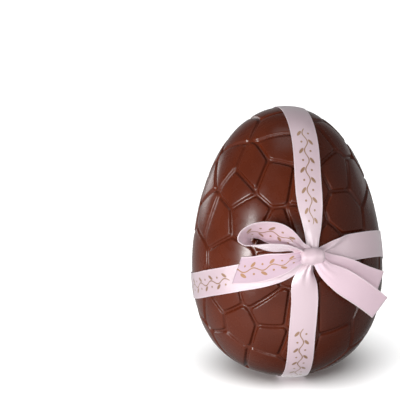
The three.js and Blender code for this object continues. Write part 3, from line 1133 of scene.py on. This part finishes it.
# %% [markdown]
# ## The level band
#
# It leaves the knot to the right, goes round the waist and comes back from the left, lower at the
# sides and the back than in front, where the knot pulls it up. At the back it passes over the
# upright band. On the knot's right a sharp fold runs out of the knot, steep on its lower side, and
# its crest climbs to the ribbon's upper edge.

# %% Route and widths of the level band
LEVEL_ROUTE = [
    [-104, 48], [-72, 54], [-50, 60.5], [-30, 66], [-10, 71], [3, 75.5], [14, 79], [24, 81],
    [40, 80.5], [58, 79], [77, 75.5], [105, 67], [140, 56], [180, 49], [220, 45.5], [256, 48],
    [288, 54], [310, 60.5], [330, 66], [350, 71], [363, 75.5], [374, 79], [384, 81],
]                                # bearing and height
KNOT_BEARING = 14
WIDTHS_RIGHT = [[0, 4.6], [4, 4.8], [8, 6.2], [15, 10.6], [21, 13.8], [26, BAND_WIDTH]]
WIDTHS_LEFT = [[0, 6], [4, 6.4], [8, 9.5], [13, 13], [18, BAND_WIDTH]]
CROSSING_BEARING = 193.3         # where it passes over the upright band, at the back

level_bearings, level_heights = np.array(LEVEL_ROUTE, float).T
route_bearings = np.linspace(KNOT_BEARING, KNOT_BEARING + 360, BAND_STEPS)
route_heights = smooth_through(level_heights, level_bearings, route_bearings)
level_directions = from_heart(shell_at_height(route_bearings, route_heights)[0])
level_line = even_steps(shell_along(level_directions)[0])[0]
crossing_height = np.interp(CROSSING_BEARING, route_bearings, route_heights)
crossing, _ = shell_at_height(CROSSING_BEARING, crossing_height)


def level_width(from_start, from_end):
    return np.minimum(width_near_knot(from_start, WIDTHS_RIGHT), width_near_knot(from_end, WIDTHS_LEFT))


print("the bands cross at a height of", round(float(crossing_height), 1), "mm")

# %% The level band
FOLD_RISE = 3.0                  # of the fold on the knot's right
FOLD_STEEP = 0.18                # widths of its two slopes, as shares of half the ribbon
FOLD_GENTLE = 0.65
CREST_START = 0.1                # how far above the ribbon's middle its crest starts
CREST_CLIMB = 0.85               # and how much further up it runs
ARCH_LEFT = 0.9
CROSSING_LIFT = 0.5


def level_arch(from_start, from_end, across):
    fold = FOLD_RISE * fading(from_start, start=11, end=27)
    past_crest = across + CREST_START + CREST_CLIMB * soft_step(from_start, start=4, end=23)
    steepness = np.where(past_crest > 0, FOLD_STEEP, FOLD_GENTLE)
    right = fold * np.exp(-(past_crest / steepness) ** 2)
    left = ARCH_LEFT * fading(from_end, start=4, end=18) * dome(across)
    from_crossing = np.linalg.norm(level_line - crossing, axis=1)[:, None]
    return right + left + CROSSING_LIFT * fading(from_crossing, start=8.5, end=14)


level_rows = band_rows(level_directions, level_width, level_arch)
level_ribbon = new_ribbon("level_band", level_rows, printed_face, print_start=139.0)

# %% [markdown]
# ## The bow's strips
#
# The bow has one loop on the left and three tails: one on the left, and two on the right, one
# before the other. Each is a loose strip through a few stations, given as a bearing, a height,
# how far the ribbon stands off the shell and how far it is rolled about its own length. Loose
# satin falls into one smooth curve of its own, so a curve through listed stations holds it
# better than a simulation, which would have to be stopped at the right moment.

# %% Rows of a loose strip
LOOSE_WIDTHS = [[0, 6.4], [4, 6.6], [9, 8.4], [15, 11.4], [21, 13.6], [27, BAND_WIDTH]]
LINE_STEPS = 600
CUT_SPREAD = 9.0                 # a slanted cut is spread over this much of the end


def loose_rows(stations, arch_at, cut=0.0, both_ends=False):
    """Rows through the stations. arch_at gives the lift across, from the distance to the knot."""
    bearings, heights, lifts, rolls = np.array(stations, float).T
    places, _ = shell_at_height(bearings, heights, lifts)
    # Knots spaced by the root of the distance keep the curve from swinging out between stations.
    chords = np.linalg.norm(np.diff(places, axis=0), axis=1) ** 0.5
    knots = np.concatenate([[0], np.cumsum(chords)])
    wanted = np.linspace(0, knots[-1], LINE_STEPS)
    line, roll = even_steps(smooth_through(places, knots, wanted), smooth_through(rolls, knots, wanted))
    along = unit(np.gradient(line, axis=0))
    _, normal = shell_along(from_heart(line))
    flat = unit(np.cross(along, normal))
    roll = np.radians(roll)[:, None]
    side = flat * np.cos(roll) + np.cross(along, flat) * np.sin(roll)
    facing = np.cross(side, along)
    lengths = lengths_of(line)
    from_knot = np.minimum(lengths, lengths[-1] - lengths) if both_ends else lengths
    from_knot = from_knot[:, None]
    half = width_near_knot(from_knot, LOOSE_WIDTHS) / 2
    slant = cut / 2 * soft_step(lengths, lengths[-1] - CUT_SPREAD, lengths[-1])[:, None]
    arch = arch_at(from_knot, ACROSS[None])
    return (line[:, None] + side[:, None] * (half * ACROSS)[..., None]
            + along[:, None] * (slant * ACROSS)[..., None] + facing[:, None] * arch[..., None])


print("a loose strip widens from", LOOSE_WIDTHS[0][1], "to", LOOSE_WIDTHS[-1][1], "mm")

# %% How the knot gathers a loose strip
GATHER_FULL = 5                  # the arch is full up to here, from the knot
WAVE_STRETCH = 9                 # the wave's length, divided by 2 pi


def gathered(rise, rise_reach, pleat_reach, pleat_shift, pleat_depth=PLEAT_DEPTH, wave=0.0):
    """The lift of a strip near the knot: an arch, pleats and perhaps a gentle wave."""
    def arch_at(from_knot, across):
        arch = rise * fading(from_knot, GATHER_FULL, rise_reach) * dome(across)
        folds = pleats(from_knot, across, pleat_reach, pleat_shift, pleat_depth)
        return arch + folds + wave * np.sin(from_knot / WAVE_STRETCH)
    return arch_at


print("a strip's arch is full for", GATHER_FULL, "mm")

# %% [markdown]
# ## The loop
#
# The loop goes up and left from the knot, rolls over at its tip and comes back below itself. It
# is rolled nearly on edge on its way, so that it stands open and its inner face shows above the
# eye. The vine shows on that face only, as the bare stretch follows where the ribbon turns.

# %% Loop
BOW_LOOP = [
    [12, 81, 3, -8], [7, 84, 3.2, -12], [3, 87, 5, -16], [-2.5, 90.2, 6.8, -24], [-9, 91.7, 8, -35],
    [-15.5, 92.1, 8.8, -55], [-20.5, 90.2, 9.3, -73], [-22, 87.5, 9.3, -84], [-19.5, 85.2, 9.2, -92],
    [-14, 84.5, 8.6, -102], [-7, 84.2, 7.4, -112], [1, 83.7, 5.6, -112], [7.5, 82, 4.2, -98],
    [12, 80, 3.5, -75],
]                                # bearing, height, stand-off and roll

loop_arch = gathered(rise=0.6, rise_reach=22, pleat_reach=20, pleat_shift=2.2, pleat_depth=0.5)
loop_rows = loose_rows(BOW_LOOP, loop_arch, both_ends=True)
# the loop's deeper pink is painted shade
bow_loop = new_ribbon("bow_loop", loop_rows, printed_loop_in_painted_shade, print_start=9.5)

# %% [markdown]
# ## The left tail
#
# It lies over the level band with its printed face up, and is cut on a slant. The cut's slant is
# how much further the strip runs at one edge than at the other.

# %% Left tail
TAIL_LEFT = [
    [12, 79, 3.5, 0], [7, 78.5, 3.5, 2], [-1, 76, 3.1, 6], [-9.5, 74, 2.9, 11],
    [-18, 72, 2.8, 13], [-29, 70.5, 3, 13],
]
CUT_LEFT = -6

left_arch = gathered(rise=1.0, rise_reach=24, pleat_reach=19, pleat_shift=1.2, pleat_depth=0.6)
left_rows = loose_rows(TAIL_LEFT, left_arch, CUT_LEFT)
# the left tail's deeper pink is painted shade
tail_left = new_ribbon("tail_left", left_rows, printed_tail_in_painted_shade, print_start=6.0)

# %% [markdown]
# ## The two tails on the right
#
# Both hang free and stand off the egg more and more towards their ends, the front one furthest,
# so that each throws its own shadow. They turn the matte reverse of the satin outwards, whose paler
# pink is painted light.

# %% Right tails
TAIL_BACK = [
    [14, 79, 2.5, 0], [18, 78.5, 2.5, 0], [25.7, 74.1, 3, 0], [34.3, 69.2, 4, 0],
    [43.9, 64, 5.5, 0], [54.8, 59, 8, 0],
]
TAIL_FRONT = [
    [14, 79, 3.5, 0], [16.4, 77.5, 4.2, 0], [20.6, 71.7, 6, 0], [27.7, 66.1, 7.8, 0],
    [34.4, 61.1, 9.6, 0], [41.7, 55.4, 11.4, 0], [49.2, 49.2, 13.2, 0],
]
CUT_BACK = -2
CUT_FRONT = -3.3

back_arch = gathered(rise=0.7, rise_reach=24, pleat_reach=20, pleat_shift=2.6)
front_arch = gathered(rise=1.4, rise_reach=26, pleat_reach=22, pleat_shift=0.3, wave=0.25)
# the reverse's paler pink is painted light
tail_back = new_ribbon("tail_back", loose_rows(TAIL_BACK, back_arch, CUT_BACK), reverse)
tail_front = new_ribbon("tail_front", loose_rows(TAIL_FRONT, front_arch, CUT_FRONT), reverse)

# %% [markdown]
# ## The knot
#
# The knot is one turn of ribbon pulled tight round the others. It is modelled as what it is, a
# short band that closes on itself behind, gathered so that it bulges in the middle, tucks in at
# both sides and shows a few creases that run with the turn.

# %% Knot
KNOT_HEIGHT = 79
KNOT_HALF = (6.2, 4.4, 4.2)      # across, up and out of the egg
KNOT_LIFT = 4.6                  # of its middle, off the shell
KNOT_ROWS = 64
TUCK = 0.62                      # how much slimmer its two sides are
TUCK_POWER = 2.4                 # the higher, the more suddenly they tuck in
CREASES = 3.2
CREASE_DEPTH = 0.06
CREASE_SWAY = 1.1                # how far they sway as they go round


def knot_rows():
    point, normal = shell_at_height(KNOT_BEARING, KNOT_HEIGHT, KNOT_LIFT)
    turn = math.radians(KNOT_BEARING)
    right = np.array([math.cos(turn), math.sin(turn), 0])
    up = np.cross(normal, right)
    round_it = np.linspace(-math.pi, math.pi, KNOT_ROWS)[:, None]
    across = ACROSS[None]
    crease = CREASE_DEPTH * np.cos(across * CREASES * math.pi + CREASE_SWAY * np.sin(round_it))
    radius = 1 - TUCK * np.abs(across) ** TUCK_POWER + crease * dome(across)
    outward = KNOT_HALF[2] * radius * np.cos(round_it)
    upward = -KNOT_HALF[1] * radius * np.sin(round_it)
    sideways = KNOT_HALF[0] * np.sin(across * math.pi / 2) * np.ones_like(round_it)
    return (point + right * sideways[..., None] + up * upward[..., None]
            + normal * outward[..., None])


ribbon_knot = new_ribbon("ribbon_knot", knot_rows(), knot_satin)

# %% [markdown]
# ## Which lamp falls on what
#
# All the pieces are there, so the three strong lamps can be kept to theirs. If the shell's lamp
# reached the ribbon too, the bow would throw a hard shadow across the chocolate, and if the wide
# lamps reached the shell, its small highlight would drown in a broad grey one.

# %% Lamps kept to their pieces
whole_ribbon = [upright_ribbon, level_ribbon, bow_loop, tail_left, tail_back, tail_front, ribbon_knot]
falls_only_on(lamps["shell_lamp"], [egg_shell])
falls_only_on(lamps["left_lamp"], [floor, *whole_ribbon])
falls_only_on(lamps["right_lamp"], whole_ribbon)
